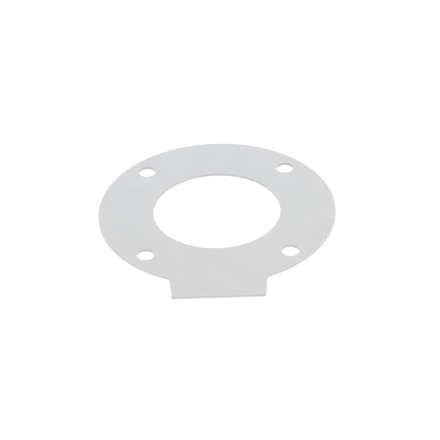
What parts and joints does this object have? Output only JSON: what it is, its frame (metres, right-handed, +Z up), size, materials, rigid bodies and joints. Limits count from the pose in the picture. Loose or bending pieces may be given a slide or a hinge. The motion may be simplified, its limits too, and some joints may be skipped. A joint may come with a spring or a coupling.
{
  "type": "fan gasket",
  "caption": "Flat ring gasket with a wide air hole, round screw holes about it and a blunt tab on its rim, which seals a fan to its flange.",
  "frame": {"origin": "centre of the air hole on the underside of the sheet", "axes": "+Z up through the sheet, towards the face that the blade enters; the tab points along -Y; +X to the right with the tab towards the viewer"},
  "size_m": [0.095, 0.103, 0.0012],
  "materials": {
    "silicone_rubber": "matte"
  },
  "bodies": {
    "root": {"fan_gasket": "silicone_rubber"}
  },
  "joints": []
}
